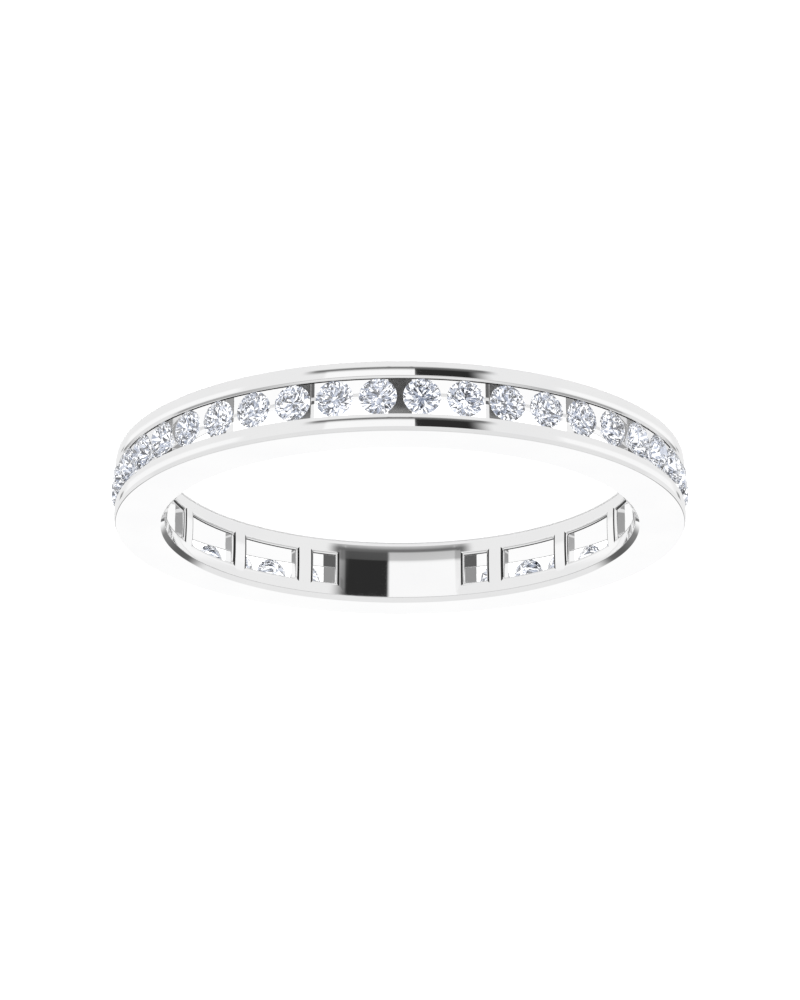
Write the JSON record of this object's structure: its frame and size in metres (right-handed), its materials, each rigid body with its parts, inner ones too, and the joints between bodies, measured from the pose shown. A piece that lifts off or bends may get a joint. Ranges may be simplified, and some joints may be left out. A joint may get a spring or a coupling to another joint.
{
  "type": "stacking ring",
  "caption": "Narrow round band with a channel of small clear stones between two polished rails and an open gallery of bars inside; worn on a finger.",
  "frame": {"origin": "centre of the ring, on the plane of the side face that it rests on", "axes": "+Z along the ring's axis, upwards through the finger hole; -Y to the middle of the row of stones; +Y to the plain stretch"},
  "size_m": [0.0214, 0.0213, 0.0025],
  "materials": {
    "white_metal": "polished white gold",
    "clear_stone": "colourless, cut and polished"
  },
  "bodies": {
    "root": {"band": "white_metal", "stone_01": "clear_stone", "stone_02": "clear_stone", "stone_03": "clear_stone", "stone_04": "clear_stone", "stone_05": "clear_stone", "stone_06": "clear_stone", "stone_07": "clear_stone", "stone_08": "clear_stone", "stone_09": "clear_stone", "stone_10": "clear_stone", "stone_11": "clear_stone", "stone_12": "clear_stone", "stone_13": "clear_stone", "stone_14": "clear_stone", "stone_15": "clear_stone", "stone_16": "clear_stone", "stone_17": "clear_stone", "stone_18": "clear_stone", "stone_19": "clear_stone", "stone_20": "clear_stone", "stone_21": "clear_stone", "stone_22": "clear_stone", "stone_23": "clear_stone", "stone_24": "clear_stone", "stone_25": "clear_stone", "stone_26": "clear_stone", "stone_27": "clear_stone", "stone_28": "clear_stone", "stone_29": "clear_stone", "stone_30": "clear_stone", "stone_31": "clear_stone", "stone_32": "clear_stone", "stone_33": "clear_stone", "stone_34": "clear_stone", "stone_35": "clear_stone", "stone_36": "clear_stone", "stone_37": "clear_stone", "stone_38": "clear_stone", "stone_39": "clear_stone", "stone_40": "clear_stone"}
  },
  "joints": []
}
